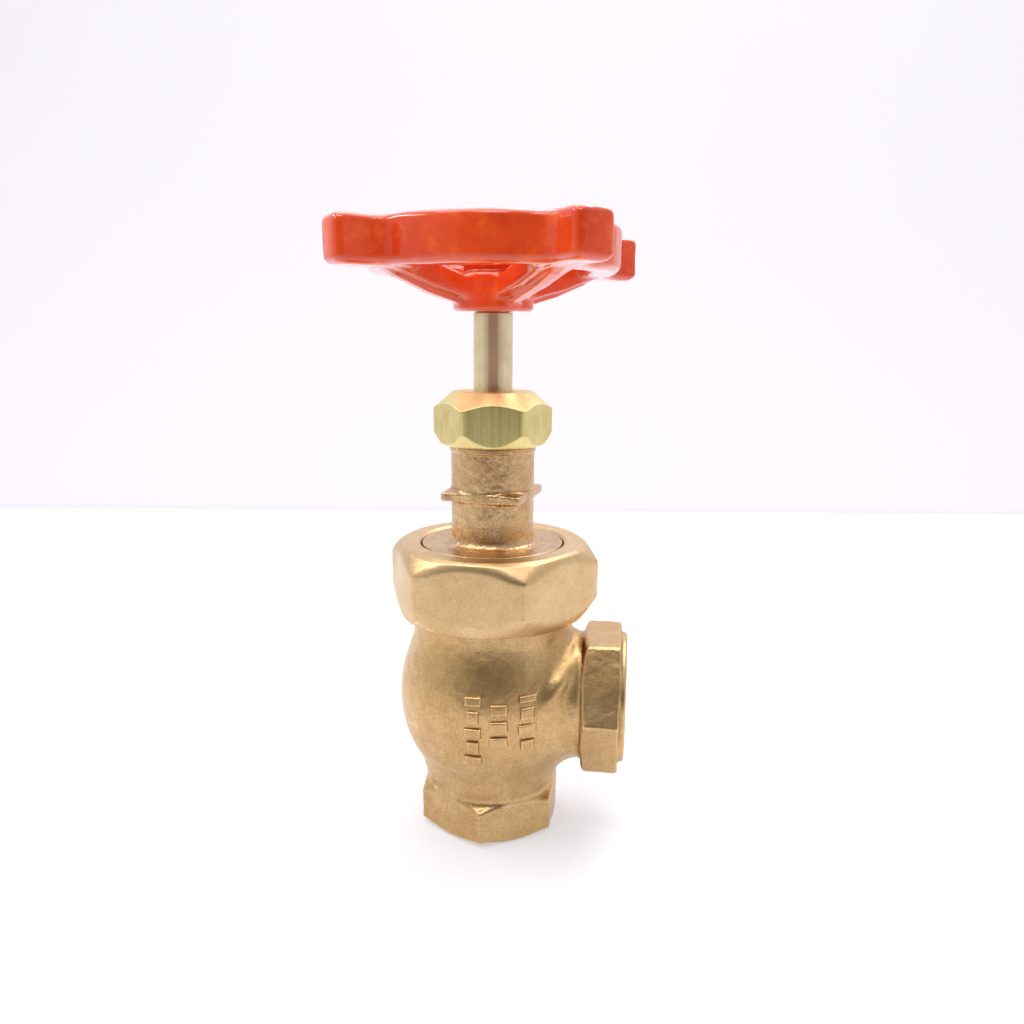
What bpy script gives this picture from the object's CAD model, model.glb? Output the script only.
"""Looks of an angle globe valve: fine meshes and procedural materials around its CAD pieces.

Lengths are millimetres in the valve's own frame until a mesh is written: the stem's axis is the
Z axis, the inlet's end face is at z = 0, the outlet points along +X and the front is -Y.
Angles round the axis are measured from -Y towards +X.
"""

import math

import bmesh
import bpy
import numpy as np
from mathutils import Matrix, Vector


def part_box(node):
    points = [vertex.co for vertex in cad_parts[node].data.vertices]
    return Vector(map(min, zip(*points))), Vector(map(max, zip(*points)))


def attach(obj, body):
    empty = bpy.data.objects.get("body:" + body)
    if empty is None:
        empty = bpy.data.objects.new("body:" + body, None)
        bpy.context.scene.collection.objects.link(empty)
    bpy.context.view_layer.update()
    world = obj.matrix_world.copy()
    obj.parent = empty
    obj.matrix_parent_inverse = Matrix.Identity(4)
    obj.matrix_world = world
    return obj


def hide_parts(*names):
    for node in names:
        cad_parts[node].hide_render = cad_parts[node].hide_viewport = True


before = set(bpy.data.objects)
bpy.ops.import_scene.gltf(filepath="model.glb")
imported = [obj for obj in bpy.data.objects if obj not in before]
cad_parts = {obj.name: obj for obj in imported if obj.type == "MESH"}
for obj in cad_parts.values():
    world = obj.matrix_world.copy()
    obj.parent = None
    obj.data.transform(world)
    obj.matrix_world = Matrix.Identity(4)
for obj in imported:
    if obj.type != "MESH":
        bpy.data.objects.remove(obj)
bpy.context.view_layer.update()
MM = 0.001
DEG = math.pi / 180
seat_low, seat_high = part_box("seat_ring")
# where the valve's axis stands in the scene
AXIS = np.array([(seat_low.x + seat_high.x) / 2 / MM, (seat_low.y + seat_high.y) / 2 / MM, 0.0])

OUTLET_HEIGHT = 36.0  # of the outlet's axis
OUTLET_REACH = 36.0  # x of the outlet's end face
STEM_BORE = 5.2  # radius of the holes round the stem
PACKING_R = 7.2
STUD_BORE = 3.0  # radius of the holes round the studs at the stem's top and the disc holder's foot


def pick(full):
    return full


# ------------------------------------------------------------------ noise
_lattices = {}


def noise(points, size, seed):
    """Smooth value noise from -1 to 1, with features of about size."""
    if seed not in _lattices:
        _lattices[seed] = np.random.default_rng(seed).random((32, 32, 32)) * 2 - 1
    scaled = points / size + 1000.37
    cell = np.floor(scaled).astype(int)
    part = scaled - cell
    part = part * part * part * (part * (part * 6 - 15) + 10)
    total = 0.0
    for corner in np.ndindex(2, 2, 2):
        weight = np.where(corner, part, 1 - part).prod(-1)
        total = total + weight * _lattices[seed][tuple(((cell + corner) % 32).T)]
    return total


def layered_noise(points, layers):
    """Sum of noises, each given as (height, size, seed)."""
    return sum(height * noise(points, size, seed) for height, size, seed in layers)


# ------------------------------------------------------------------ fields
# Signed distances, negative inside.
def unit(value):
    return np.clip(value, 0, 1)


def smooth_min(first, second, blend):
    near = unit(1 - np.abs(first - second) / blend)
    return np.minimum(first, second) - near * near * blend / 4


def smooth_max(first, second, blend):
    return -smooth_min(-first, -second, blend)


def outline_field(radius, z, outline):
    """Distance in the (radius, z) plane to a closed outline."""
    best = np.full(radius.shape, 1e9)
    sign = np.ones(radius.shape)
    for i, (from_r, from_z) in enumerate(outline):
        to_r, to_z = outline[i - 1]
        edge_r, edge_z = to_r - from_r, to_z - from_z
        off_r, off_z = radius - from_r, z - from_z
        length2 = max(edge_r * edge_r + edge_z * edge_z, 1e-12)
        along = unit((off_r * edge_r + off_z * edge_z) / length2)
        gap_r, gap_z = off_r - edge_r * along, off_z - edge_z * along
        best = np.minimum(best, gap_r * gap_r + gap_z * gap_z)
        above, below, left = z >= from_z, z < to_z, edge_r * off_z > edge_z * off_r
        crossed = (above & below & left) | (~above & ~below & ~left)
        sign = np.where(crossed, -sign, sign)
    return sign * np.sqrt(best)


def hexagon_field(flat, corner, apothem, blend):
    """Distance to a hexagon with flats across the first coordinate, corners on the second."""
    field = np.abs(flat) - apothem
    for side in (1, -1):
        slanted = np.abs(0.5 * flat + side * math.sqrt(3) / 2 * corner) - apothem
        field = smooth_max(field, slanted, blend)
    return field


def soft_box(first, second, rounding):
    """Rounded corner of two half-spaces."""
    first, second = first + rounding, second + rounding
    outside = np.hypot(np.maximum(first, 0), np.maximum(second, 0))
    return outside + np.minimum(np.maximum(first, second), 0) - rounding


def soft_band(distance, z, low, high, rounding):
    """A plan's field given the heights low to high."""
    return soft_box(distance, np.abs(z - (high + low) / 2) - (high - low) / 2, rounding)


def settle(points, field, steps):
    """Moves points onto the zero level of a field."""
    delta, reach, least_slope2 = 0.02, 1.2, 0.2
    for _ in range(steps):
        value = field(points)
        slope = np.stack(
            [(field(points + d) - field(points - d)) / (2 * delta) for d in np.eye(3) * delta], -1
        )
        slope2 = np.maximum((slope * slope).sum(-1), least_slope2)
        move = -(value / slope2)[:, None] * slope
        size = np.linalg.norm(move, axis=1, keepdims=True)
        points = points + move * np.minimum(1, reach / np.maximum(size, 1e-9))
    return points


# ------------------------------------------------------------------ meshes
def smooth_shade(obj, sharp_deg):
    obj.data.shade_smooth()
    obj.data.set_sharp_from_angle(angle=sharp_deg * DEG)


def to_object(name, points, faces):
    """A mesh object from points in the valve frame."""
    mesh = bpy.data.meshes.new(name)
    mesh.from_pydata(((np.asarray(points) + AXIS) * MM).tolist(), [], faces)
    mesh.validate()
    mesh.update()
    obj = bpy.data.objects.new(name, mesh)
    bpy.context.scene.collection.objects.link(obj)
    return obj


def read_vertices(obj, attribute):
    values = np.empty(len(obj.data.vertices) * 3, np.float32)
    obj.data.vertices.foreach_get(attribute, values)
    return values.reshape(-1, 3).astype(float)


def points_of(obj):
    return read_vertices(obj, "co") / MM - AXIS


def set_points(obj, points):
    obj.data.vertices.foreach_set("co", ((points + AXIS) * MM).astype(np.float32).ravel())
    obj.data.update()


def roughen(obj, amount):
    """Moves points along their normals by amount(points)."""
    points = points_of(obj)
    set_points(obj, points + read_vertices(obj, "normal") * amount(points)[:, None])


def rounded(outline, closed):
    """Replaces corners by arcs. Rows are (radius, height) or (radius, height, corner radius)."""
    last = len(outline) - 1
    path = []
    for i, row in enumerate(outline):
        bend = row[2] if len(row) > 2 else 0
        here = np.array(row[:2], float)
        if (not closed and i in (0, last)) or bend <= 0:
            path.append(here)
            continue
        back = np.array(outline[i - 1][:2], float) - here
        ahead = np.array(outline[(i + 1) % (last + 1)][:2], float) - here
        back_length, ahead_length = np.linalg.norm(back), np.linalg.norm(ahead)
        back, ahead = back / back_length, ahead / ahead_length
        cosine = float(np.clip(back @ ahead, -1, 1))
        if cosine < -0.9995:
            path.append(here)
            continue
        half = math.acos(cosine) / 2
        cut = min(bend / math.tan(half), back_length * 0.48, ahead_length * 0.48)
        bend = cut * math.tan(half)
        inward = (back + ahead) / np.linalg.norm(back + ahead)
        centre = here + inward * (bend / math.sin(half))
        start = math.atan2(*(here + back * cut - centre)[::-1])
        end = math.atan2(*(here + ahead * cut - centre)[::-1])
        sweep = (end - start + math.pi) % (2 * math.pi) - math.pi
        count = max(2, int(abs(sweep) / (18 * DEG)) + 1)
        for j in range(count + 1):
            angle = start + sweep * j / count
            path.append(centre + bend * np.array([math.cos(angle), math.sin(angle)]))
    return path


def dense(path, step, closed):
    """Adds points so that none is further than step from the next."""
    out = []
    size = len(path)
    for i in range(size if closed else size - 1):
        here, there = path[i], path[(i + 1) % size]
        count = max(1, int(math.ceil(np.linalg.norm(there - here) / step)))
        out += [here + (there - here) * j / count for j in range(count)]
    if not closed:
        out.append(path[-1])
    return np.array(out)


def turned(name, outline, around, step, closed=True, warp=None, along_x=False):
    """A turned piece.

    A closed outline is a ring round a hole; an open one starts and ends on the axis.
    warp(theta, radius, z) may change the radius and height anywhere. With along_x the piece
    lies on the outlet's axis, its heights running inward from the outlet's end face.
    """
    path = dense(rounded(outline, closed), step, closed)
    body = path if closed else path[1:-1]
    theta, radius = np.meshgrid(
        np.arange(around) * 2 * math.pi / around, body[:, 0], indexing="ij"
    )
    z = np.tile(body[:, 1], (around, 1))
    if warp is not None:
        radius, z = warp(theta, radius, z)
    points = np.stack([radius * np.sin(theta), -radius * np.cos(theta), z], -1).reshape(-1, 3)
    size = len(body)
    turn = np.arange(around)
    next_turn = (turn + 1) % around
    row = np.arange(size if closed else size - 1)
    turn_grid, row_grid = np.meshgrid(turn, row, indexing="ij")
    next_grid, next_row = np.meshgrid(next_turn, (row + 1) % size, indexing="ij")
    corners = (
        turn_grid * size + row_grid,
        next_grid * size + row_grid,
        next_grid * size + next_row,
        turn_grid * size + next_row,
    )
    faces = np.stack(corners, -1).reshape(-1, 4).tolist()
    if not closed:
        first, last = len(points), len(points) + 1
        points = np.vstack([points, [[0, 0, path[0][1]], [0, 0, path[-1][1]]]])
        pairs = [(int(i), int(j)) for i, j in zip(turn, next_turn)]
        faces += [[first, j * size, i * size] for i, j in pairs]
        faces += [[last, i * size + size - 1, j * size + size - 1] for i, j in pairs]
    # the sign of the volume tells whether the faces look outward
    tri = [face[:3] for face in faces]
    tri += [[face[0], face[2], face[3]] for face in faces if len(face) == 4]
    a, b, c = (points[index] for index in np.array(tri).T)
    if np.einsum("ij,ij->i", a, np.cross(b, c)).sum() < 0:
        faces = [face[::-1] for face in faces]
    if along_x:
        x, y, z = points.T
        points = np.stack([OUTLET_REACH - z, y, OUTLET_HEIGHT + x], -1)
    obj = to_object(name, points, faces)
    smooth_shade(obj, 40)
    return obj


def ring_outline(inner, outer, low, high, corners=(0.1,) * 4):
    """A rectangle; corners are inner low, outer low, outer high, inner high."""
    places = ((inner, low), (outer, low), (outer, high), (inner, high))
    return [(*place, corner) for place, corner in zip(places, corners)]


def polygon_radius(theta, apothem, corner_deg, sides=6):
    """Radius of a regular polygon's outline at angle theta, one corner at corner_deg."""
    step = 360 / sides * DEG
    return apothem / np.cos((theta - corner_deg * DEG) % step - step / 2)


def hexed(apothem, corner_deg, blend, inner_r):
    """Warp that cuts a hexagon outside inner_r."""

    def warp(theta, radius, z):
        limit = polygon_radius(theta, apothem, corner_deg)
        return np.where(radius > inner_r, smooth_min(radius, limit, blend), radius), z

    return warp


def zigzag(theta, z, pitch, turn):
    """Helical wave from 0 to 1; with turn 1 it falls as theta grows, with -1 it rises."""
    return np.abs((z / pitch + turn * theta / (2 * math.pi)) % 1.0 - 0.5) * 2


def bake_modifiers(obj):
    """Gives the object its modified mesh and returns the old one."""
    bpy.context.view_layer.update()
    graph = bpy.context.evaluated_depsgraph_get()
    made = bpy.data.meshes.new_from_object(obj.evaluated_get(graph))
    obj.modifiers.clear()
    old = obj.data
    obj.data = made
    return old


def apply_boolean(obj, other, operation):
    mod = obj.modifiers.new("boolean", "BOOLEAN")
    mod.operation, mod.solver, mod.object = operation, "EXACT", other
    bpy.data.meshes.remove(bake_modifiers(obj))
    bpy.data.objects.remove(other, do_unlink=True)


def voxel_union(name, parts, size):
    """One skin round several closed, overlapping objects."""
    joined = bmesh.new()
    for part in parts:
        joined.from_mesh(part.data)
    mesh = bpy.data.meshes.new(name)
    joined.to_mesh(mesh)
    joined.free()
    for part in parts:
        bpy.data.objects.remove(part, do_unlink=True)
    obj = bpy.data.objects.new(name, mesh)
    bpy.context.scene.collection.objects.link(obj)
    mod = obj.modifiers.new("remesh", "REMESH")
    mod.mode, mod.voxel_size, mod.use_smooth_shade = "VOXEL", size * MM, True
    bake_modifiers(obj)
    return obj


# ------------------------------------------------------------------ body
END_APOTHEM = 17.3  # of the hexagons at inlet and outlet
# start and end of each hexagon, measured inward from its end face
INLET_HEX = (1.2, 10.5)
OUTLET_HEX = (1.5, 11.1)
# the casting's outside from the inlet's hexagon to the neck, as (height, radius)
BULB_STATIONS = (
    (11.0, 17.25), (12.4, 17.6), (14.0, 18.1), (15.6, 18.45), (17.2, 18.9), (18.8, 19.45),
    (21.25, 20.75), (23.0, 21.7), (25.2, 22.6), (27.5, 23.35), (29.5, 23.8), (32.0, 24.25),
    (35.0, 24.55), (37.4, 24.62), (40.0, 24.4), (42.3, 23.98), (44.0, 23.6), (46.0, 23.0),
    (48.2, 22.2), (50.4, 21.45), (52.3, 20.95), (54.0, 20.6), (56.0, 20.38), (58.0, 20.3),
)
NECK_R = 20.3
NECK_TOP = 70.9
# the outlet branch, as (radius, distance inward from its end face)
BRANCH = [
    (0, 0), (16.4, 0), (16.85, 0.4), (16.85, 2.2), (16.7, 11.4), (16.5, 12.4), (16.8, 14.5),
    (18.0, 17.6), (18.0, 30.0), (0, 30.0),
]
# raised blocks: x of an upright row, then for each block its
# (middle's height above the outlet's axis, half width, half height)
MARKS = (
    (-0.8, ((6.9, 2.1, 1.2), (3.0, 1.5, 1.6), (-1.1, 2.1, 1.2), (-5.1, 1.5, 1.6), (-8.9, 2.1, 1.1))),
    (5.6, ((4.9, 2.1, 1.4), (0.7, 2.1, 1.4), (-3.6, 2.1, 1.4))),
    (12.4, ((7.1, 2.1, 0.9), (3.6, 1.6, 1.5), (-0.6, 2.1, 1.4), (-4.9, 1.6, 1.5))),
)
MARK_PROUD, MARK_SUNK, MARK_ROUND = 0.7, 1.3, 0.4
# the threaded sockets, from the end face inward, as (radius, depth)
SOCKET = [(0, -1.0), (13.6, -1.0), (13.5, 0.05), (12.6, 1.0), (12.0, 2.0), (11.8, 14.6)]
SOCKET_PITCH = 1.814
SOCKET_THREAD = (0.9, 14.6)  # depths where it starts and ends
INLET_CUT = SOCKET + [
    (10.7, 15.7, 0.6), (9.5, 16.9, 0.6), (9.5, 20.7), (12.8, 20.7), (12.8, 26.5, 0.4),
    (15.0, 27.2, 0.8), (18.0, 30.6, 2.0), (19.4, 36.0, 3.0), (18.4, 42.0, 3.0),
    (16.4, 47.0, 2.0), (15.5, 49.0, 0.5), (15.5, 72.0), (0, 72.0),
]
OUTLET_CUT = SOCKET + [(10.1, 15.5, 0.5), (9.2, 16.5, 0.5), (9.2, 21.5), (0, 21.5)]


def bulb_outline():
    """The casting round the main axis: lip, softened bulb and neck."""
    heights, radii = np.array(BULB_STATIONS).T
    fine = np.arange(11.2, 57.6, 0.6)
    lead = 5  # steps of the wide row before the fine one
    wide = np.interp(np.arange(8.2, 60.6, 0.6), heights, radii)
    kernel = np.exp(-np.linspace(-1.8, 1.8, 7) ** 2)
    soft = np.convolve(wide, kernel / kernel.sum(), "same")[lead : lead + len(fine)]
    lip = [(0, 0), (16.3, 0), (16.7, 0.3), (17.0, 1.0), (17.1, 9.5)]
    neck = [(NECK_R, 58.4), (NECK_R, NECK_TOP), (0, NECK_TOP)]
    return lip + list(zip(soft.tolist(), fine.tolist())) + neck


BULB = bulb_outline()


def end_hexagon_field(flat, corner, depth, low, high):
    """depth is measured inward from the end face; both ends of the hexagon are chamfered."""
    side = hexagon_field(flat, corner, END_APOTHEM, 0.5)
    radius = np.hypot(flat, corner)
    start = smooth_max(low - depth, (radius - 19.85) * 0.6 + (low - depth), 0.25)
    end = smooth_max(depth - high, (radius - 17.6) * 0.42 + (depth - high - 0.2), 0.4)
    return smooth_max(side, np.maximum(start, end), 0.7)


def body_field(points):
    x, y, z = points.T
    inward = OUTLET_REACH - x
    up = z - OUTLET_HEIGHT
    main = outline_field(np.hypot(x, y), z, BULB)
    branch = outline_field(np.hypot(y, up), inward, BRANCH)
    field = smooth_min(main, branch, 4.2)
    # a rib-like swelling where the branch leaves the front of the bulb
    across = (x - 18.2 - 0.55 * (z - 42)) / 2.6
    swell = np.exp(-(across**2) - ((z - 47.0) / 6.0) ** 2) * (y < 0)
    field = field - 1.3 * swell
    field = smooth_min(field, end_hexagon_field(x, y, z, *INLET_HEX), 2.6)
    return smooth_min(field, end_hexagon_field(up, y, inward, *OUTLET_HEX), 0.7)


def build_marks():
    """Raised blocks on the front of the bulb, each following the bulb's curve."""
    profile = np.array([row for row in BULB if 12 < row[1] < 60])
    columns, rows = 15, 13
    across = np.sin(np.linspace(-90, 90, columns) * DEG)
    upward = np.sin(np.linspace(-90, 90, rows) * DEG)
    across, upward = np.meshgrid(across, upward, indexing="ij")
    # the grid's border, once round
    border = [i * rows for i in range(columns)]
    border += [(columns - 1) * rows + j for j in range(1, rows)]
    border += [i * rows + rows - 1 for i in range(columns - 2, -1, -1)]
    border += list(range(rows - 2, 0, -1))
    points, faces = [], []
    for row_x, blocks in MARKS:
        for middle, half_width, half_height in blocks:
            edge = np.minimum(
                (1 - np.abs(across)) * half_width, (1 - np.abs(upward)) * half_height
            )
            proud = MARK_PROUD * np.sqrt(1 - (1 - unit(edge / MARK_ROUND)) ** 2)
            x = row_x + across * half_width
            z = OUTLET_HEIGHT + middle + upward * half_height
            top = len(points) * columns * rows
            under = top + columns * rows
            for lift in (proud, -MARK_SUNK):
                radius = np.interp(z, profile[:, 1], profile[:, 0]) + lift
                y = -np.sqrt(np.maximum(radius * radius - x * x, 1.0))
                points.append(np.stack([x, y, z], -1).reshape(-1, 3))
            for i in range(columns - 1):
                for j in range(rows - 1):
                    low, high = i * rows + j, (i + 1) * rows + j
                    quad = [low, high, high + 1, low + 1]
                    faces.append([top + k for k in quad])
                    faces.append([under + k for k in quad[::-1]])
            for i, j in zip(border, border[1:] + border[:1]):
                faces.append([top + j, top + i, under + i, under + j])
    return to_object("marks", np.vstack(points), faces)


def socket_thread(theta, radius, z):
    """Tapered internal thread, starting near the end face."""
    start, end = SOCKET_THREAD
    inside = (z > start) & (z < end) & (radius > 11.0)
    tooth = unit((zigzag(theta, z, SOCKET_PITCH, 1) - 0.12) / 0.76)
    fade = unit((z - start) / 0.8) * unit((end - z) / 1.5)
    cut = 12.1 - z / 32 + 1.15 * (1 - tooth) * fade
    return np.where(inside, np.maximum(cut, 11.5), radius), z


def cast_lumps(points):
    """Casting unevenness, calm at the two end faces and above the union nut's lower edge."""
    lumps = layered_noise(points, ((0.10, 7.0, 1), (0.055, 2.6, 2), (0.03, 1.1, 3)))
    x, _, z = points.T
    calm = unit(z / 0.6) * unit((OUTLET_REACH - x) / 0.6) * unit((56.5 - z) / 2)
    return (lumps - 0.04) * calm


def build_body():
    parts = [
        turned("bulb_part", BULB, 120, 1.2, closed=False),
        turned("branch_part", BRANCH, 96, 1.2, closed=False, along_x=True),
    ]

    def hexagon(theta, radius, z):
        return np.minimum(radius, polygon_radius(theta, END_APOTHEM, 0)), z

    block = [(0, 1.4), (20.4, 1.4), (20.4, 10.4), (0, 10.4)]
    for along_x in (False, True):
        parts.append(
            turned("hex_part", block, 96, 1.2, closed=False, warp=hexagon, along_x=along_x)
        )
    body = voxel_union("valve_body_casting", parts, pick(0.42))
    set_points(body, settle(points_of(body), body_field, 4))
    roughen(body, cast_lumps)
    apply_boolean(body, build_marks(), "UNION")
    around = pick(112)
    for outline, along_x in ((INLET_CUT, False), (OUTLET_CUT, True)):
        cutter = turned(
            "bore_cut", outline, around, 0.3, closed=False, warp=socket_thread, along_x=along_x
        )
        apply_boolean(body, cutter, "DIFFERENCE")
    smooth_shade(body, 42)
    return body


# ------------------------------------------------------------------ union nut, bonnet, packing nut
def build_union_nut():
    outline = [
        (20.6, 59.6, 0.3), (21.1, 59.1, 0.3), (24.4, 59.1, 0.35), (28.2, 64.2, 1.2),
        (28.2, 73.3, 1.4), (24.7, 76.9, 1.2), (23.4, 77.6, 1.0), (19.3, 77.6, 0.5),
        (18.63, 77.0, 0.3), (18.63, 73.8, 0.2), (20.6, 73.8, 0.2),
    ]
    warp = hexed(apothem=24.65, corner_deg=25.5, blend=1.8, inner_r=21.0)
    nut = turned("union_nut_ring", outline, pick(540), pick(0.33), warp=warp)

    def lumps(points):
        outside = unit((np.hypot(points[:, 0], points[:, 1]) - 20.9) / 0.8)
        layers = ((0.07, 8.0, 11), (0.03, 3.0, 12), (0.012, 1.0, 13))
        return (layered_noise(points, layers) - 0.02) * outside

    roughen(nut, lumps)
    return nut


BONNET_R = 10.6
COLLAR_CORNER = 35.4  # degrees
COLLAR_APOTHEM = 10.4
COLLAR_CORNER_R = 14.45
# how far the square collar has grown out of the round neck, as (height, share)
COLLAR_GROWTH = (
    (88.4, 0), (88.86, 0.35), (88.95, 0.86), (89.12, 0.96), (89.4, 1),
    (90.7, 1), (90.98, 0.96), (91.15, 0.86), (91.22, 0.4), (91.8, 0),
)


def collar_warp(theta, radius, z):
    growth = np.interp(z, *np.array(COLLAR_GROWTH).T)
    square = polygon_radius(theta, COLLAR_APOTHEM, COLLAR_CORNER, sides=4)
    square = smooth_min(square, COLLAR_CORNER_R, 0.5)
    outer = (radius > 9.5) & (z > 88.3) & (z < 92.0)
    grown = smooth_max(square, radius, 1.0)
    return np.where(outer, radius + (grown - radius) * growth, radius), z


def build_bonnet():
    outline = [
        (6.6, 62.3, 0.2), (7.0, 62.0, 0.2), (8.4, 62.0, 0.4), (9.0, 62.8, 0.4),
        (9.0, 66.0, 0.8), (15.2, 67.0, 0.4), (15.2, 71.2, 0.1), (20.1, 71.2, 0.3),
        (20.1, 73.5, 0.3), (18.3, 73.5, 0.1), (18.3, 77.35, 0.35), (13.2, 77.25, 1.0),
        (11.5, 77.6, 1.2), (10.65, 78.8, 1.6),
    ]
    # extra stations that carry the collar
    heights = (88.0, 88.84, 88.92, 89.1, 89.4, 90.7, 91.0, 91.14, 91.21, 92.2)
    outline += [(BONNET_R, z) for z in heights]
    outline += [
        (BONNET_R, 100.9, 0.4), (11.0, 101.3, 0.2), (11.0, 102.4, 0.15),
        (BONNET_R, 102.42, 0.05), (BONNET_R, 109.9, 0.2), (10.1, 110.4, 0.2),
        (7.5, 110.4, 0.2), (7.5, 95.0, 0.1), (STEM_BORE, 95.0, 0.1), (STEM_BORE, 90.0, 0.2),
        (6.6, 88.6, 0.2),
    ]
    bonnet = turned("bonnet_casting", outline, pick(420), pick(0.27), warp=collar_warp)

    def lumps(points):
        radius = np.hypot(points[:, 0], points[:, 1])
        z = points[:, 2]
        cast = unit((z - 77.0) / 0.4) * unit((101.4 - z) / 0.5)
        cast = cast * unit((18.0 - radius) / 0.6) * (radius > 9.0)
        return layered_noise(points, ((0.09, 4.0, 21), (0.06, 1.5, 22), (0.03, 0.7, 23))) * cast

    roughen(bonnet, lumps)
    bonnet.data.set_sharp_from_angle(angle=60 * DEG)
    return bonnet


def build_packing_nut():
    outline = [
        (10.9, 103.0, 0.15), (11.3, 102.7, 0.15), (12.6, 102.7, 0.2), (13.4, 103.1, 0.2),
        (15.0, 105.9, 0.25), (15.0, 111.9, 0.2), (13.37, 113.2, 0.15), (10.14, 116.0, 0.2),
        (9.6, 116.1, 0.15), (5.6, 116.1, 0.2), (STEM_BORE, 115.6, 0.15),
        (STEM_BORE, 112.2, 0.1), (10.9, 112.2, 0.1),
    ]
    warp = hexed(apothem=13.35, corner_deg=39.44, blend=0.22, inner_r=11.2)
    return turned("packing_nut_machined", outline, pick(560), pick(0.22), warp=warp)


def build_gland():
    outline = [
        (STEM_BORE, 107.6, 0.1), (5.5, 107.4, 0.1), (PACKING_R, 107.4, 0.2),
        (PACKING_R, 110.9, 0.1), (9.8, 110.9, 0.2), (9.8, 111.9, 0.2), (STEM_BORE, 111.9, 0.2),
    ]
    return turned("gland_follower_ring", outline, 96, 0.6)


# ------------------------------------------------------------------ stem
STEM_THREAD_R = 6.3
STEM_PITCH = 3.175
STUD_R = 2.7  # the fine-threaded top
STUD_PITCH = 0.9


def stem_warp(theta, radius, z):
    """Coarse thread low on the rod, square under the top stud, fine thread on the stud."""
    tooth = unit((zigzag(theta, z, STEM_PITCH, -1) - 0.36) / 0.28)
    fade = unit((z - 57.3) / 0.8) * unit((88.0 - z) / 1.2)
    coarse = (radius > 6.2) & (z > 57) & (z < 88.4)
    radius = np.where(coarse, STEM_THREAD_R - 1.45 * (1 - tooth) * fade, radius)
    square = smooth_min(polygon_radius(theta, 3.3, 45, sides=4), 4.5, 0.2)
    squared = (z > 135.11) & (z < 146.23) & (radius > 3.0)
    radius = np.where(squared, np.minimum(radius, square), radius)
    fine = (radius > 2.65) & (z > 146.9) & (z < 151.9) & (radius < 2.75)
    radius = np.where(fine, STUD_R - 0.35 * zigzag(theta, z, STUD_PITCH, -1), radius)
    return radius, z


def build_stem():
    outline = [
        (0, 45.8), (4.6, 45.8, 0.2), (5.4, 46.5, 0.4), (5.4, 49.2, 0.3), (3.6, 49.2, 0.3),
        (3.6, 54.9, 0.5), (5.3, 55.9, 0.3), (STEM_THREAD_R, 57.1, 0.2),
        (STEM_THREAD_R, 88.3, 0.2), (4.88, 89.7, 0.2), (4.88, 134.9, 0.1), (4.7, 135.1, 0.05),
        (4.4, 135.12), (4.4, 146.2, 0.1), (STUD_R, 146.25, 0.1), (STUD_R, 152.0, 0.1),
        (2.2, 152.6, 0.1), (0, 152.6),
    ]
    return turned("stem_rod", outline, pick(200), pick(0.2), closed=False, warp=stem_warp)


# ------------------------------------------------------------------ handwheel
LOBE_ANGLES = [(-50.6 + 90.0 * k) * DEG for k in range(4)]
LOBE_R, LOBE_HALF = 41.8, 4.9
RIM_R, RIM_INNER_R = 31.0, 22.5
RIM_LOW, RIM_HIGH = 144.2, 155.2
HUB_R, HUB_LOW, HUB_HIGH = 10.0, 135.2, 144.3
BOSS_R, BOSS_LOW, BOSS_HIGH = 7.4, 139.4, 146.6  # the hub's narrower top
FLANGE_HALF, RIB_HALF = 4.7, 1.9
# spoke section: distance out, top, underside of the flange, bottom of the rib
SPOKE = (
    (0.0, 142.9, 138.5, 136.4),
    (5.6, 142.9, 138.5, 136.4),
    (10.0, 143.5, 138.6, 137.0),
    (18.0, 146.2, 140.6, 139.2),
    (26.5, 149.0, 143.6, 142.5),
    (30.0, 150.1, 145.2, 144.7),
)
SQUARE_HALF = 3.6  # of the hole on the stem's square


def rim_radius(theta):
    out = np.full(np.shape(theta), RIM_R)
    for angle in LOBE_ANGLES:
        sine = np.maximum(np.abs(np.sin(theta - angle)), 1e-6)
        lobe = np.maximum(out, np.minimum(LOBE_R, LOBE_HALF / sine))
        out = np.where(np.cos(theta - angle) > 0, lobe, out)
    return out


def wheel_field(points):
    x, y, z = points.T
    radius = np.hypot(x, y)
    plan = radius - RIM_R
    spokes = np.full(x.shape, 99.0)
    reach, *section = np.array(SPOKE).T
    for angle in LOBE_ANGLES:
        out_x, out_y = math.sin(angle), -math.cos(angle)
        out, side = x * out_x + y * out_y, np.abs(-x * out_y + y * out_x)
        lobe = smooth_max(side - LOBE_HALF - 0.03 * (out - 36.0), radius - LOBE_R, 2.2)
        lobe = smooth_max(lobe, 5.0 - out, 0.1)
        plan = smooth_min(plan, lobe, 5.0)
        top, web, low = (np.interp(out, reach, heights) for heights in section)
        flange = soft_band(side - FLANGE_HALF, z, web, top, 0.9)
        rib = soft_band(side - RIB_HALF, z, low, top, 0.8)
        spoke = np.maximum(smooth_min(flange, rib, 1.0), np.maximum(-out, out - reach[-1]))
        spokes = np.minimum(spokes, spoke)
    plan = smooth_max(plan, RIM_INNER_R - radius, 0.1)
    rim = soft_band(plan, z, RIM_LOW, RIM_HIGH, 2.1)
    hub = soft_band(radius - HUB_R, z, HUB_LOW, HUB_HIGH, 1.2)
    boss = soft_band(radius - BOSS_R, z, BOSS_LOW, BOSS_HIGH, 0.7)
    return smooth_min(smooth_min(rim, spokes, 1.6), smooth_min(hub, boss, 0.8), 1.5)


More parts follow.
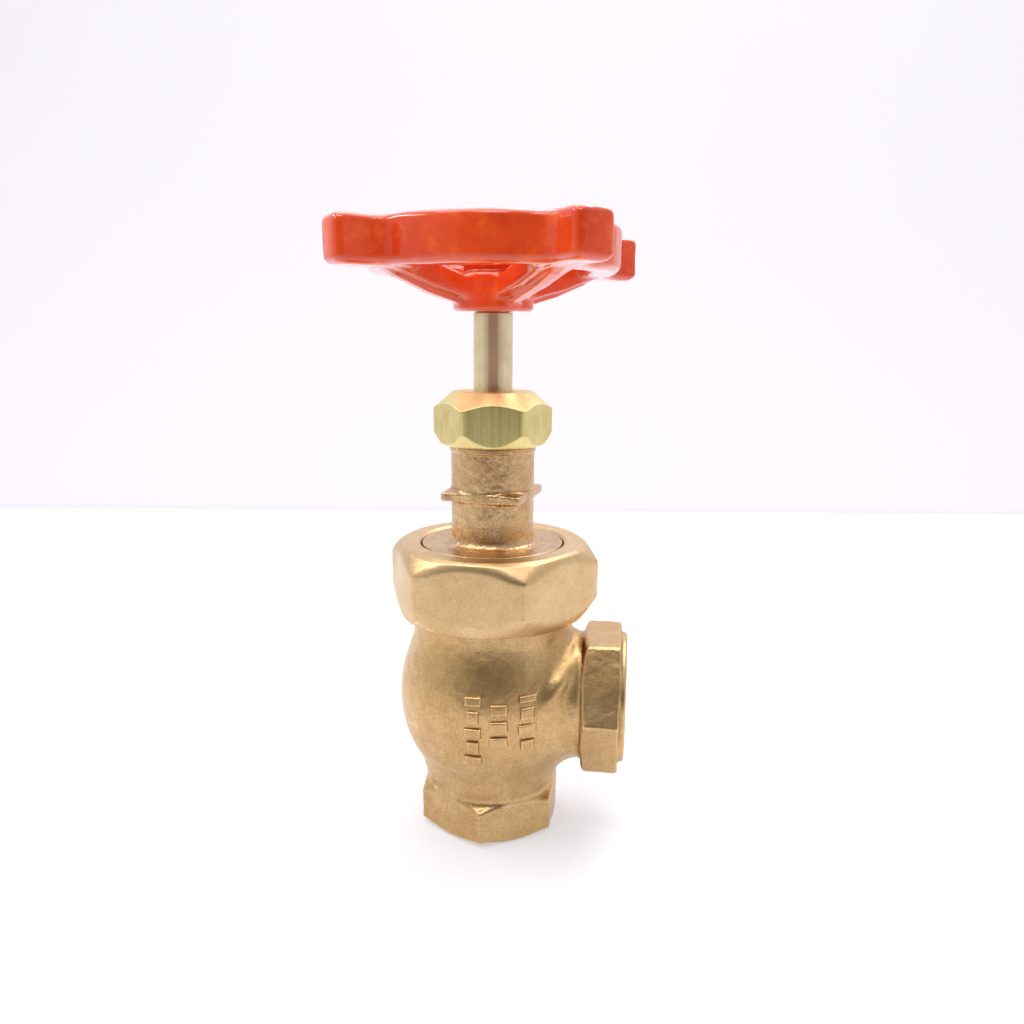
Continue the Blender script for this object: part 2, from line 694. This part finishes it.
def build_spoke(angle):
    out = np.array([math.sin(angle), -math.cos(angle), 0])
    side = np.array([math.cos(angle), math.sin(angle), 0])
    points = []
    for reach, top, web, low in SPOKE:
        half = ((RIB_HALF, low), (RIB_HALF, web), (FLANGE_HALF, web), (FLANGE_HALF, top))
        section = [(-across, z) for across, z in half[::-1]] + list(half)
        points += [out * reach + side * across + np.array([0, 0, z]) for across, z in section]
    size = 8  # points in a section
    last = (len(SPOKE) - 1) * size
    faces = [list(range(size)), list(range(last, last + size))[::-1]]
    for start in range(0, last, size):
        for i in range(size):
            j = (i + 1) % size
            faces.append([start + i, start + j, start + size + j, start + size + i])
    spoke = to_object("spoke_part", points, faces)
    mesh = bmesh.new()
    mesh.from_mesh(spoke.data)
    bmesh.ops.recalc_face_normals(mesh, faces=mesh.faces)
    mesh.to_mesh(spoke.data)
    mesh.free()
    return spoke


def build_wheel():
    def lobed(theta, radius, z):
        share = (rim_radius(theta) - RIM_INNER_R) / (RIM_R - RIM_INNER_R)
        return RIM_INNER_R + (radius - RIM_INNER_R) * share, z

    rim = ring_outline(RIM_INNER_R, RIM_R, RIM_LOW, RIM_HIGH, (1.5,) * 4)
    hub = [
        (0, HUB_LOW), (HUB_R, HUB_LOW, 1.0), (HUB_R, HUB_HIGH, 0.5), (BOSS_R, HUB_HIGH, 0.3),
        (BOSS_R, BOSS_HIGH, 0.5), (0, BOSS_HIGH),
    ]
    parts = [
        turned("rim_part", rim, 480, 1.2, warp=lobed),
        turned("hub_part", hub, 96, 1.2, closed=False),
    ]
    parts += [build_spoke(angle) for angle in LOBE_ANGLES]
    wheel = voxel_union("handwheel_casting", parts, pick(0.46))
    set_points(wheel, settle(points_of(wheel), wheel_field, 6))

    def lumps(points):
        calmer_top = np.clip((154.5 - points[:, 2]) / 0.8, 0.25, 1)
        layers = ((0.15, 9.0, 31), (0.07, 4.0, 32), (0.03, 1.9, 33))
        return (layered_noise(points, layers) - 0.08) * calmer_top

    roughen(wheel, lumps)
    square = [(-1, -1), (1, -1), (1, 1), (-1, 1)]
    hole = to_object(
        "square_cut",
        [(x * SQUARE_HALF, y * SQUARE_HALF, z) for z in (134.0, 148.0) for x, y in square],
        [[3, 2, 1, 0], [4, 5, 6, 7], [0, 1, 5, 4], [1, 2, 6, 5], [2, 3, 7, 6], [3, 0, 4, 7]],
    )
    apply_boolean(wheel, hole, "DIFFERENCE")
    smooth_shade(wheel, 55)
    return wheel


def build_plate():
    outline = ring_outline(STUD_BORE, 8.6, 146.9, 147.5, (0.1, 0.1, 0.2, 0.1))
    return turned("blank_plate", outline, 96, 0.4)


def build_wheel_washer():
    return turned("lock_washer", ring_outline(STUD_BORE, 5.6, 147.8, 148.4), 72, 0.4)


def build_wheel_nut():
    half = [(STUD_BORE, 149.0), (3.3, 148.7), (4.9, 148.7), (5.7, 149.2)]
    half += [(5.7, 151.2), (4.9, 151.7), (3.3, 151.7), (STUD_BORE, 151.4)]
    outline = [(*row, 0.1) for row in half]
    warp = hexed(apothem=5.0, corner_deg=12.0, blend=0.12, inner_r=3.6)
    return turned("wheel_retaining_nut", outline, 240, 0.2, warp=warp)


# ------------------------------------------------------------------ inner pieces
SEAT_TOP = 27.0
DISC_LOW = SEAT_TOP + 0.3 + 9.525  # the soft disc's underside, raised off the seat
RING_LOW, RING_PITCH, RING_HEIGHT = 96.6, 2.7, 2.4  # packing rings


def build_seat():
    outline = [
        (9.5, 21.0, 0.4), (12.5, 21.0, 0.3), (12.5, 26.0, 0.2), (11.6, 26.0, 0.2),
        (11.2, SEAT_TOP, 0.3), (9.5, SEAT_TOP, 0.4),
    ]
    return turned("seat_insert", outline, 128, 0.4)


def build_disc():
    outline = ring_outline(STUD_BORE, 12.5, DISC_LOW, DISC_LOW + 3.8, (0.2, 0.5, 0.3, 0.2))
    return turned("soft_disc", outline, 128, 0.5)


def build_disc_washer():
    low, high = DISC_LOW - 1.2, DISC_LOW - 0.3
    outline = ring_outline(STUD_BORE, 7.5, low, high, (0.1, 0.3, 0.1, 0.1))
    return turned("disc_retaining_washer", outline, 96, 0.4)


def build_disc_nut():
    # radius, drop below the disc
    drops = ((STUD_BORE, 4.3), (3.3, 4.6), (4.7, 4.6), (5.5, 4.2), (5.5, 1.5), (STUD_BORE, 1.5))
    outline = [(radius, DISC_LOW - drop, 0.1) for radius, drop in drops]
    warp = hexed(apothem=4.75, corner_deg=0.0, blend=0.12, inner_r=3.5)
    return turned("disc_retaining_nut", outline, 240, 0.25, warp=warp)


def build_disc_holder():
    outline = [
        (0, DISC_LOW - 5.2), (2.3, DISC_LOW - 5.2, 0.1), (2.7, DISC_LOW - 4.8, 0.1),
        (2.7, DISC_LOW + 4.1, 0.2), (12.8, DISC_LOW + 4.1, 0.2), (12.8, DISC_LOW + 1.2, 0.2),
        (14.2, DISC_LOW + 1.2, 0.4), (14.2, 43.6, 0.5), (13.2, 44.6, 0.5), (8.5, 44.6, 1.0),
        (8.5, 54.3, 0.5), (0, 54.3),
    ]
    holder = turned("disc_carrier", outline, 128, 0.5, closed=False)
    # a stepped slot, open towards -X, that takes the stem's head (half width, low, high)
    for half, low, high in ((5.7, 45.5, 49.5), (3.9, 49.2, 55.3)):
        plan = [(-16.0, half), (-16.0, -half)]
        plan += [(half * math.sin(a * DEG), -half * math.cos(a * DEG)) for a in range(0, 181, 5)]
        size = len(plan)
        faces = [list(range(size))[::-1], list(range(size, 2 * size))]
        for i in range(size):
            j = (i + 1) % size
            faces.append([i, j, size + j, size + i])
        slot = to_object("slot", [(x, y, z) for z in (low, high) for x, y in plan], faces)
        apply_boolean(holder, slot, "DIFFERENCE")
    smooth_shade(holder, 40)
    return holder


def build_stuffing_washer():
    return turned("stuffing_washer", ring_outline(STEM_BORE, PACKING_R, 95.3, 96.3), 96, 0.5)


def build_packing_ring(node, index):
    low = RING_LOW + index * RING_PITCH
    outline = ring_outline(STEM_BORE, PACKING_R, low, low + RING_HEIGHT, (0.4,) * 4)
    ring = turned("braid_" + node, outline, 144, 0.25)
    roughen(ring, lambda points: 0.05 * noise(points, 0.8, 41) - 0.05)
    return ring


# ------------------------------------------------------------------ materials
class MaterialNodes:
    """Short calls for building one material's node tree. Sizes are in millimetres."""

    def __init__(self, name):
        self.material = bpy.data.materials.new(name)
        self.material.use_nodes = True
        self.tree = self.material.node_tree
        self.shader = self.tree.nodes["Principled BSDF"]
        self.coord = self.add("ShaderNodeTexCoord").outputs["Object"]

    def add(self, kind):
        return self.tree.nodes.new(kind)

    def put(self, node, key, value):
        """Links a socket, or sets a value, on one of a node's inputs."""
        if isinstance(value, bpy.types.NodeSocket):
            self.tree.links.new(value, node.inputs[key])
        else:
            node.inputs[key].default_value = value

    def scaled(self, x=1.0, y=1.0, z=1.0):
        """Object position with x, y and z units to the millimetre."""
        mapping = self.add("ShaderNodeMapping")
        self.put(mapping, "Vector", self.coord)
        self.put(mapping, "Scale", (1000 * x, 1000 * y, 1000 * z))
        return mapping.outputs["Vector"]

    def noise(self, size, detail, rough, distort=0.0, vector=None):
        node = self.add("ShaderNodeTexNoise")
        self.put(node, "Vector", vector if vector is not None else self.scaled())
        self.put(node, "Scale", 1.0 / size)
        self.put(node, "Detail", detail)
        self.put(node, "Roughness", rough)
        self.put(node, "Distortion", distort)
        return node.outputs["Fac"]

    def ramp(self, value, low, high, start=0.0, end=1.0):
        """Eases from start to end as value goes from low to high."""
        node = self.add("ShaderNodeValToRGB")
        node.color_ramp.interpolation = "EASE"
        stops = ((low, start), (high, end))
        for element, (position, level) in zip(node.color_ramp.elements, stops):
            element.position = position
            element.color = (level, level, level, 1)
        self.put(node, "Fac", value)
        return node.outputs["Color"]

    def math(self, operation, first, second=0.0, clamp=False):
        node = self.add("ShaderNodeMath")
        node.operation = operation
        node.use_clamp = clamp
        self.put(node, 0, first)
        self.put(node, 1, second)
        return node.outputs[0]

    def times(self, first, second, clamp=False):
        return self.math("MULTIPLY", first, second, clamp)

    def plus(self, first, second, weight):
        """first + weight * second"""
        return self.math("ADD", first, self.times(second, weight))

    def inverted(self, value):
        return self.math("SUBTRACT", 1.0, value)

    def mix(self, factor, first, second):
        node = self.add("ShaderNodeMix")
        node.data_type = "RGBA"
        node.clamp_factor = True
        for key, value in (("Factor_Float", factor), ("A_Color", first), ("B_Color", second)):
            index = next(i for i, put in enumerate(node.inputs) if put.identifier == key)
            self.put(node, index, (*value, 1) if isinstance(value, tuple) else value)
        return next(out for out in node.outputs if out.identifier == "Result_Color")

    def tint(self, colour, mask, strength, other):
        """Mixes in another colour where the mask is 1, by strength."""
        return self.mix(self.times(mask, strength), colour, other)

    def bump(self, height, strength, depth):
        node = self.add("ShaderNodeBump")
        self.put(node, "Height", height)
        self.put(node, "Strength", strength)
        self.put(node, "Distance", depth * MM)
        return node.outputs["Normal"]

    def edges(self, low, high):
        """0 in hollows, 1 on worn edges."""
        return self.ramp(self.add("ShaderNodeNewGeometry").outputs["Pointiness"], low, high)

    def z_of(self, vector):
        split = self.add("ShaderNodeSeparateXYZ")
        self.put(split, 0, vector)
        return split.outputs["Z"]

    def steepness(self, normal):
        """Size of the normal's vertical part, from the named geometry output."""
        vector = self.add("ShaderNodeNewGeometry").outputs[normal]
        return self.math("ABSOLUTE", self.z_of(vector))

    def finish(self, **values):
        """Sets the shader's inputs, named with underscores for spaces."""
        for key, value in values.items():
            self.put(self.shader, key.replace("_", " "), value)
        return self.material


def srgb(code):
    out = []
    for i in (0, 2, 4):
        level = int(code[i : i + 2], 16) / 255
        out.append(level / 12.92 if level <= 0.04045 else ((level + 0.055) / 1.055) ** 2.4)
    return tuple(out)


def shade(colour, factor):
    return tuple(min(1.0, level * factor) for level in colour)


def cast_bronze(name, base, dark, light, grain, rough, relief, patchy):
    """Sand casting: a fine grain, broad soft patches, rubbed edges and darker hollows."""
    mat = MaterialNodes(name)
    cloud = mat.noise(13.0, detail=2.0, rough=0.5)
    mottled = mat.noise(3.2, detail=4.0, rough=0.6)
    fine = mat.noise(grain, detail=3.0, rough=0.65)
    speck = mat.noise(grain * 0.5, detail=2.0, rough=0.55)
    pits = mat.noise(1.5, detail=3.0, rough=0.6)
    colour = mat.tint(base, mat.ramp(cloud, 0.3, 0.7), 0.55, light)
    colour = mat.tint(colour, mat.ramp(mottled, 0.3, 0.62, start=1.0, end=0.0), patchy, dark)
    colour = mat.tint(colour, mat.ramp(fine, 0.3, 0.6, start=1.0, end=0.0), 0.42, dark)
    colour = mat.tint(colour, mat.ramp(speck, 0.52, 0.72), 0.4, shade(light, 1.2))
    in_pits = mat.ramp(pits, 0.24, 0.33, start=1.0, end=0.0)
    colour = mat.tint(colour, in_pits, 0.5, shade(dark, 0.5))
    colour = mat.tint(colour, mat.edges(0.505, 0.55), 0.5, shade(light, 1.15))
    hollow = mat.inverted(mat.edges(0.44, 0.496))
    colour = mat.tint(colour, hollow, 0.55, shade(dark, 0.55))
    height = mat.plus(mat.times(fine, 1.0), speck, 0.7)
    height = mat.plus(height, mottled, 0.8)
    height = mat.plus(height, mat.ramp(pits, 0.24, 0.33), 0.5)
    smoothest, roughest = rough
    cover = mat.plus(mat.times(fine, 0.5), cloud, 0.5)
    return mat.finish(
        Base_Color=colour,
        Metallic=1.0,
        Roughness=mat.ramp(cover, 0.3, 0.7, start=roughest, end=smoothest),
        Normal=mat.bump(height, strength=0.9, depth=relief),
    )


STAIN_TURN = 9.35 * DEG


def stain_band(mat):
    """Mask of a narrow, wavering band down the front and the back of the rod."""
    dot = mat.add("ShaderNodeVectorMath")
    dot.operation = "DOT_PRODUCT"
    mat.put(dot, 0, mat.scaled())
    mat.put(dot, 1, (math.cos(STAIN_TURN), math.sin(STAIN_TURN), 0.0))
    centre = float(AXIS[0]) * math.cos(STAIN_TURN)
    across = mat.math("SUBTRACT", dot.outputs["Value"], centre)
    waver = mat.noise(1.0, detail=3.0, rough=0.6, vector=mat.scaled(0.5, 0.5, 0.06))
    waver = mat.math("SUBTRACT", mat.times(waver, 1.6), 0.8)
    offset = mat.math("ADD", mat.math("ADD", across, 0.1), waver)
    inside = mat.math("SUBTRACT", 1.4, mat.math("ABSOLUTE", offset))
    return mat.ramp(inside, 0.0, 0.35, end=0.75)


def machined(name, base, dark, rough, relief, tarnished, rings=None, pits=0.0, stain=None, cones=0.0):
    """Turned or milled metal: tool lines, a little tarnish, scratches and pits.

    rings is the spacing of level tool lines; without it the lines run upright. cones
    roughens the faces that look up or down.
    """
    mat = MaterialNodes(name)
    if rings is None:
        streak = mat.noise(1.0, detail=3.0, rough=0.6, vector=mat.scaled(2.6, 2.6, 0.04))
    else:
        lines = mat.scaled(0.05, 0.05, 1 / rings / 1.6)
        streak = mat.noise(1.0, detail=2.0, rough=0.6, vector=lines)
    tarnish = mat.noise(5.0, detail=4.0, rough=0.65)
    scratch = mat.noise(
        1.0, detail=3.0, rough=0.7, distort=0.6, vector=mat.scaled(0.35, 0.35, 3.5)
    )
    colour = mat.tint(base, mat.ramp(tarnish, 0.38, 0.66), tarnished, dark)
    colour = mat.mix(mat.ramp(streak, 0.40, 0.58, start=0.22, end=0.0), colour, dark)
    if stain is not None:
        colour = mat.mix(stain_band(mat), colour, stain)
    height = mat.plus(streak, scratch, 0.5)
    if pits:
        spots = mat.noise(0.5, detail=2.0, rough=0.5)
        outside_pits = mat.ramp(spots, 0.22, 0.30)
        colour = mat.tint(colour, mat.inverted(outside_pits), pits, shade(dark, 0.4))
        height = mat.plus(height, outside_pits, 1.5)
    colour = mat.tint(colour, mat.edges(0.51, 0.58), 0.4, shade(base, 1.15))
    cover = mat.plus(mat.times(streak, 0.5), tarnish, 0.5)
    roughness = mat.ramp(cover, 0.35, 0.65, start=rough[0], end=rough[1])
    if cones:
        steep = mat.ramp(mat.steepness("True Normal"), 0.35, 0.6)
        roughness = mat.plus(roughness, steep, cones)
        colour = mat.tint(colour, steep, 0.7, srgb("F3E4A8"))
    return mat.finish(
        Base_Color=colour,
        Metallic=1.0,
        Roughness=roughness,
        Normal=mat.bump(height, strength=0.7, depth=relief),
    )


def enamel(name, base, deep, bright):
    """Thick glossy enamel: pooled colour, orange peel, brown chips on edges and in the paint."""
    mat = MaterialNodes(name)
    cloud = mat.noise(14.0, detail=3.0, rough=0.55)
    pool = mat.noise(4.5, detail=3.0, rough=0.6)
    peel = mat.noise(1.8, detail=2.0, rough=0.5)
    colour = mat.mix(mat.ramp(cloud, 0.35, 0.7, end=0.8), base, deep)
    colour = mat.mix(mat.ramp(pool, 0.50, 0.72, end=0.55), colour, bright)
    hollow = mat.inverted(mat.edges(0.45, 0.496))
    colour = mat.tint(colour, hollow, 0.4, shade(deep, 0.5))
    edge = mat.edges(0.512, 0.54)
    spots = mat.ramp(mat.noise(1.4, detail=4.0, rough=0.7), 0.60, 0.64)
    chips = mat.times(mat.times(edge, spots), 0.9, clamp=True)
    grit = mat.ramp(mat.noise(0.6, detail=2.0, rough=0.5), 0.72, 0.77)
    gritty = mat.ramp(mat.noise(6.0, detail=2.0, rough=0.5), 0.5, 0.7, end=0.8)
    marks = mat.math("MAXIMUM", chips, mat.times(grit, gritty))
    colour = mat.mix(marks, colour, srgb("4A2A1C"))
    height = mat.plus(mat.times(peel, 0.5), pool, 1.5)
    height = mat.math("SUBTRACT", height, mat.times(marks, 0.8))
    return mat.finish(
        Base_Color=colour,
        Metallic=0.0,
        Roughness=mat.plus(mat.ramp(pool, 0.3, 0.7, start=0.12, end=0.2), marks, 0.4),
        Normal=mat.bump(height, strength=0.5, depth=0.09),
        # a stronger coat on faces that look up or down
        Coat_Weight=mat.ramp(mat.steepness("Normal"), 0.2, 0.6, start=0.1),
        Coat_Roughness=0.03,
        Specular_IOR_Level=0.38,
    )


def plain(name, base, dark, rough, size, relief, metallic=0.0):
    """One colour with fine grain and broad darker patches."""
    mat = MaterialNodes(name)
    grain = mat.noise(size, detail=4.0, rough=0.65)
    patches = mat.noise(size * 7, detail=2.0, rough=0.5)
    colour = mat.mix(mat.ramp(grain, 0.35, 0.65, start=0.8, end=0.0), base, dark)
    colour = mat.mix(mat.ramp(patches, 0.4, 0.7, end=0.4), colour, dark)
    smoothest, roughest = rough
    return mat.finish(
        Base_Color=colour,
        Metallic=metallic,
        Roughness=mat.ramp(grain, 0.3, 0.7, start=roughest, end=smoothest),
        Normal=mat.bump(grain, strength=0.6, depth=relief),
    )


def braid(name):
    """Braided packing: crossing strands."""
    mat = MaterialNodes(name)
    waves = []
    for side in (1, -1):
        wave = mat.add("ShaderNodeTexWave")
        wave.wave_type, wave.bands_direction = "BANDS", "DIAGONAL"
        mat.put(wave, "Vector", mat.scaled(1.2, 1.2 * side, 1.0))
        mat.put(wave, "Scale", 0.9)
        mat.put(wave, "Distortion", 1.2)
        waves.append(wave.outputs["Fac"])
    weave = mat.times(*waves)
    fuzz = mat.noise(0.3, detail=3.0, rough=0.6)
    colour = mat.mix(mat.ramp(weave, 0.1, 0.7), (0.012, 0.012, 0.013), (0.07, 0.07, 0.075))
    colour = mat.tint(colour, fuzz, 0.3, (0.15, 0.15, 0.16))
    return mat.finish(
        Base_Color=colour,
        Metallic=0.0,
        Roughness=0.55,
        Normal=mat.bump(mat.plus(weave, fuzz, 0.3), strength=0.8, depth=0.15),
    )


def build_materials():
    """The material of each slot."""
    return {
        "cast_bronze": cast_bronze(
            "cast_bronze", base=srgb("CAA672"), dark=srgb("A47E50"), light=srgb("D8B888"),
            grain=0.62, rough=(0.27, 0.4), relief=0.05, patchy=0.3,
        ),
        "bonnet_bronze": cast_bronze(
            "bonnet_bronze", base=srgb("C7A375"), dark=srgb("9C734B"), light=srgb("DDBF93"),
            grain=0.6, rough=(0.24, 0.36), relief=0.045, patchy=0.35,
        ),
        "union_bronze": cast_bronze(
            "union_bronze", base=srgb("D3B282"), dark=srgb("BC9765"), light=srgb("DFC397"),
            grain=0.5, rough=(0.3, 0.42), relief=0.03, patchy=0.25,
        ),
        "machined_brass": machined(
            "machined_brass", base=srgb("DFD290"), dark=srgb("C0A962"), rough=(0.26, 0.38),
            relief=0.012, tarnished=0.4, pits=0.5, cones=0.13,
        ),
        "stem_brass": machined(
            "stem_brass", base=srgb("E6D8B4"), dark=srgb("BFAC86"), rough=(0.38, 0.48),
            relief=0.008, tarnished=0.3, stain=srgb("D0A286"),
        ),
        "inner_bronze": machined(
            "inner_bronze", base=srgb("CBA367"), dark=srgb("A67D45"), rough=(0.22, 0.36),
            relief=0.012, tarnished=0.4, rings=0.15, pits=0.2,
        ),
        "wheel_enamel": enamel(
            "wheel_enamel", base=srgb("E44C1C"), deep=srgb("CF3A14"), bright=srgb("F66426")
        ),
        "seat_ptfe": plain(
            "seat_ptfe", base=srgb("EDECE6"), dark=srgb("D8D5CA"), rough=(0.35, 0.5),
            size=0.9, relief=0.02,
        ),
        "packing_graphite": braid("packing_graphite"),
        "plate_aluminium": plain(
            "plate_metal", base=srgb("C9B680"), dark=srgb("A8935C"), rough=(0.2, 0.36),
            size=1.2, relief=0.01, metallic=1.0,
        ),
    }


# ------------------------------------------------------------------ assemble
MATERIALS = build_materials()


def place(obj, body, slot, node):
    """Puts a piece on its moving body in place of a CAD node."""
    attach(obj, body)
    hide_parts(node)
    obj.data.materials.clear()
    obj.data.materials.append(MATERIALS[slot])


# builder, moving body, slot, CAD node
PIECES = (
    (build_body, "valve_body", "cast_bronze", "body"),
    (build_union_nut, "valve_body", "union_bronze", "union_nut"),
    (build_bonnet, "valve_body", "bonnet_bronze", "bonnet"),
    (build_packing_nut, "packing_nut", "machined_brass", "packing_nut"),
    (build_gland, "gland_follower", "inner_bronze", "gland"),
    (build_stem, "stem_and_wheel", "stem_brass", "stem"),
    (build_wheel, "stem_and_wheel", "wheel_enamel", "handwheel"),
    (build_plate, "stem_and_wheel", "plate_aluminium", "id_plate"),
    (build_wheel_washer, "stem_and_wheel", "inner_bronze", "wheel_washer"),
    (build_wheel_nut, "stem_and_wheel", "machined_brass", "wheel_nut"),
    (build_seat, "valve_body", "inner_bronze", "seat_ring"),
    (build_disc, "disc_assembly", "seat_ptfe", "seat_disc"),
    (build_disc_washer, "disc_assembly", "inner_bronze", "disc_washer"),
    (build_disc_nut, "disc_assembly", "inner_bronze", "disc_nut"),
    (build_disc_holder, "disc_assembly", "inner_bronze", "disc_holder"),
    (build_stuffing_washer, "valve_body", "inner_bronze", "packing_washer"),
)
for build, body, slot, node in PIECES:
    place(build(), body, slot, node)
for index, level in enumerate(("lowest", "lower", "upper", "highest")):
    node = "packing_ring_" + level
    place(build_packing_ring(node, index), "valve_body", "packing_graphite", node)


# ------------------------------------------------------------------ stage
HEADING = 8.4 * DEG  # the stage's turn about Z
STAGE_HALF = 1800.0
TABLE_NEAR, TABLE_FAR = -620.0, 402.0
BACKDROP_AT = TABLE_FAR + 3.0


def sheet(name, rows, base, glow, rough, graded=False):
    """A wide sheet through rows of (distance back, height); graded dims its glow upward."""
    points = []
    for back, height in rows:
        for x in (-STAGE_HALF, STAGE_HALF):
            turned_x = x * math.cos(HEADING) - back * math.sin(HEADING)
            turned_y = x * math.sin(HEADING) + back * math.cos(HEADING)
            points.append((turned_x, turned_y, height - 0.05))
    obj = to_object(name, points, [[0, 1, 3, 2]])
    obj.data.shade_smooth()
    mat = MaterialNodes(name + "_paint")
    tone = mat.ramp(mat.noise(160.0, detail=2.0, rough=0.5), 0.3, 0.7)
    emission = (*glow, 1)
    if graded:
        height = mat.ramp(mat.times(mat.z_of(mat.coord), 1.6), 0.0, 0.6)
        emission = mat.mix(height, shade(glow, 1.07), shade(glow, 0.985))
    material = mat.finish(
        Base_Color=mat.mix(tone, shade(base, 0.985), base),
        Roughness=rough,
        Specular_IOR_Level=0.1,
        Emission_Color=emission,
        Emission_Strength=1.0,
    )
    obj.data.materials.append(material)


def build_stage():
    """A white table top with a plain white backdrop behind its far edge."""
    sheet(
        "stage_table", [(TABLE_NEAR, 0.0), (TABLE_FAR, 0.0)],
        base=(0.5, 0.5, 0.51), glow=(0.46, 0.455, 0.465), rough=0.7,
    )
    sheet(
        "stage_backdrop", [(BACKDROP_AT, -60.0), (BACKDROP_AT, 1900.0)],
        base=(0.2, 0.2, 0.21), glow=(0.745, 0.71, 0.765), rough=0.9, graded=True,
    )


# name, place, aim, (width, depth), watts
LIGHTS = (
    ("tube_front", (-40, -190, 470), (0, 0, 120), (330, 26), 0.5),
    ("tube_left", (-330, -60, 430), (0, 0, 100), (300, 30), 0.45),
    ("tube_back", (120, 160, 520), (0, 0, 120), (330, 40), 0.4),
    ("overhead", (0, 60, 700), (0, 0, 60), (620, 460), 1.6),
    ("back_top", (60, 360, 560), (0, 0, 90), (700, 240), 1.9),
)


def add_light(name, at, aim, size, power):
    data = bpy.data.lights.new(name, "AREA")
    data.shape, data.size, data.size_y = "RECTANGLE", size[0] * MM, size[1] * MM
    data.energy = power
    obj = bpy.data.objects.new(name, data)
    obj.location = (Vector(at) + Vector(AXIS)) * MM
    obj.rotation_mode = "QUATERNION"
    obj.rotation_quaternion = (Vector(aim) - Vector(at)).to_track_quat("-Z", "Y")
    bpy.context.scene.collection.objects.link(obj)


DARK_SIDE = (0.19, -0.975, 0.10)  # direction of the world's darkest part
# cosine from the dark side's direction (as ramp position), colour
WORLD_TONES = (
    (0.10, (0.92, 0.915, 0.94)),
    (0.62, (0.68, 0.665, 0.66)),
    (0.84, (0.26, 0.25, 0.24)),
    (0.97, (0.17, 0.16, 0.15)),
)


def build_world():
    """White all round, darker behind the camera."""
    world = bpy.data.worlds.new("studio")
    bpy.context.scene.world = world
    world.use_nodes = True
    tree = world.node_tree
    background = tree.nodes["Background"]
    coord = tree.nodes.new("ShaderNodeTexCoord")
    dot = tree.nodes.new("ShaderNodeVectorMath")
    dot.operation = "DOT_PRODUCT"
    tree.links.new(coord.outputs["Generated"], dot.inputs[0])
    dot.inputs[1].default_value = Vector(DARK_SIDE).normalized()
    ramp = tree.nodes.new("ShaderNodeValToRGB")
    elements = ramp.color_ramp.elements
    for position, tone in WORLD_TONES:
        elements.new(position).color = (*tone, 1)
    # the ramp's own two ends
    elements.remove(elements[0])
    elements.remove(elements[-1])
    tree.links.new(dot.outputs["Value"], ramp.inputs["Fac"])
    tree.links.new(ramp.outputs["Color"], background.inputs["Color"])
    background.inputs["Strength"].default_value = 0.97


CAMERA_AT = (32.9, -199.8, 128.1)
CAMERA_FORWARD = (-0.1348, 0.9686, -0.2088)
CAMERA_ROLL = 0.5 * DEG


def build_camera():
    data = bpy.data.cameras.new("camera")
    data.lens = 27.9847266
    data.sensor_width = 36
    data.clip_start, data.clip_end = 0.01, 20
    camera = bpy.data.objects.new("camera", data)
    bpy.context.scene.collection.objects.link(camera)
    bpy.context.scene.camera = camera
    forward = Vector(CAMERA_FORWARD).normalized()
    level = forward.cross(Vector((0, 0, 1))).normalized()
    above = level.cross(forward)
    right = level * math.cos(CAMERA_ROLL) + above * math.sin(CAMERA_ROLL)
    up = -level * math.sin(CAMERA_ROLL) + above * math.cos(CAMERA_ROLL)
    turn = Matrix((right, up, -forward)).transposed().to_4x4()
    camera.matrix_world = Matrix.Translation((Vector(CAMERA_AT) + Vector(AXIS)) * MM) @ turn


build_stage()
build_world()
for light in LIGHTS:
    add_light(*light)
build_camera()
bpy.context.scene.view_settings.view_transform = "Standard"
bpy.context.scene.view_settings.look = "None"
